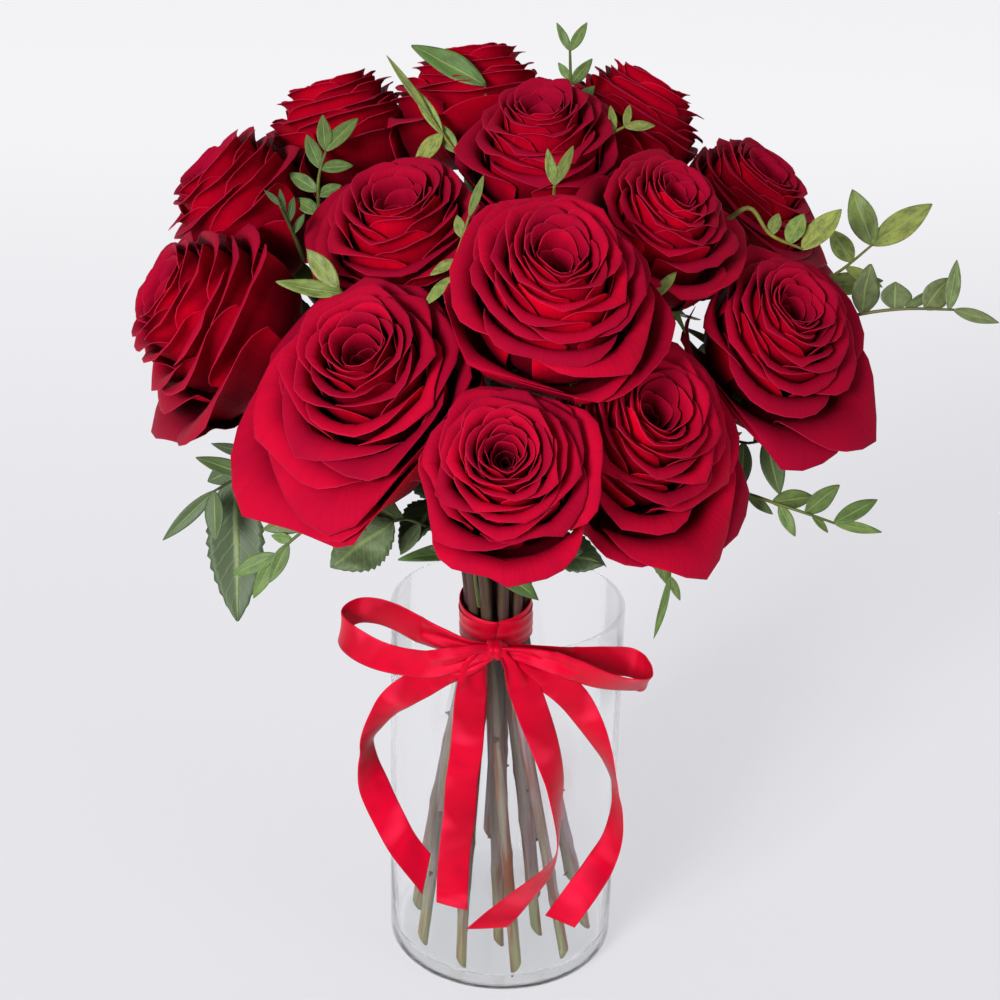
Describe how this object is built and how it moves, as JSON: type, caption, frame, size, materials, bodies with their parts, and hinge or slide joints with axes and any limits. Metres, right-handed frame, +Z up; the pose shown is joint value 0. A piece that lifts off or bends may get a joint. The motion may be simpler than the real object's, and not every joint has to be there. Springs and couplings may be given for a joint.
{
  "type": "roses in a vase",
  "caption": "Domed bouquet of long-stemmed red roses with sprigs of foliage, tied with a satin ribbon bow and standing in a clear straight-sided glass vase.",
  "frame": {"origin": "centre of the vase's flat underside, on the surface it stands on", "axes": "+Z up along the vase's axis; -Y towards the front, where the bow hangs; +X to the right as seen from the front"},
  "size_m": [0.3606, 0.3533, 0.4988],
  "materials": {
    "glass": "clear polished",
    "petals": "velvety deep red petal",
    "stems": "reddish-brown and green bark, satin",
    "leaves": "leathery green leaf, satin",
    "ribbon": "glossy satin weave"
  },
  "bodies": {
    "root": {"vase": "glass", "bloom_front_left": "petals", "stem_front_left": "stems", "bloom_front_centre": "petals", "stem_front_centre": "stems", "bloom_front_right": "petals", "stem_front_right": "stems", "bloom_centre": "petals", "stem_centre": "stems", "bloom_right": "petals", "stem_right": "stems", "bloom_left": "petals", "stem_left": "stems", "bloom_upper_left": "petals", "stem_upper_left": "stems", "bloom_mid_left": "petals", "stem_mid_left": "stems", "bloom_top_centre": "petals", "stem_top_centre": "stems", "bloom_mid_right": "petals", "stem_mid_right": "stems", "bloom_upper_right": "petals", "stem_upper_right": "stems", "bloom_back_left": "petals", "stem_back_left": "stems", "bloom_back_centre": "petals", "stem_back_centre": "stems", "bloom_back_right": "petals", "stem_back_right": "stems", "bloom_back_low_left": "petals", "stem_back_low_left": "stems", "bloom_back_low_centre": "petals", "stem_back_low_centre": "stems", "bloom_back_low_right": "petals", "stem_back_low_right": "stems", "sprig_right_long": "leaves", "sprig_right_upper": "leaves", "sprig_right_inner": "leaves", "sprig_right_low": "leaves", "sprig_right_dark": "leaves", "sprig_drop": "leaves", "sprig_rose_leaf_left": "leaves", "sprig_left_outer": "leaves", "sprig_left_inner": "leaves", "sprig_rose_leaf_front": "leaves", "sprig_front_low": "leaves", "sprig_top": "leaves", "sprig_big_leaf": "leaves", "sprig_upper_mid": "leaves", "sprig_upper_left": "leaves", "sprig_gap_left": "leaves", "sprig_gap_front_left": "leaves", "sprig_gap_front": "leaves", "sprig_gap_centre": "leaves", "sprig_gap_upper": "leaves", "sprig_gap_right": "leaves", "sprig_back_fill": "leaves", "ribbon_bow": "ribbon", "ribbon_hanging_pair": "ribbon"}
  },
  "joints": []
}
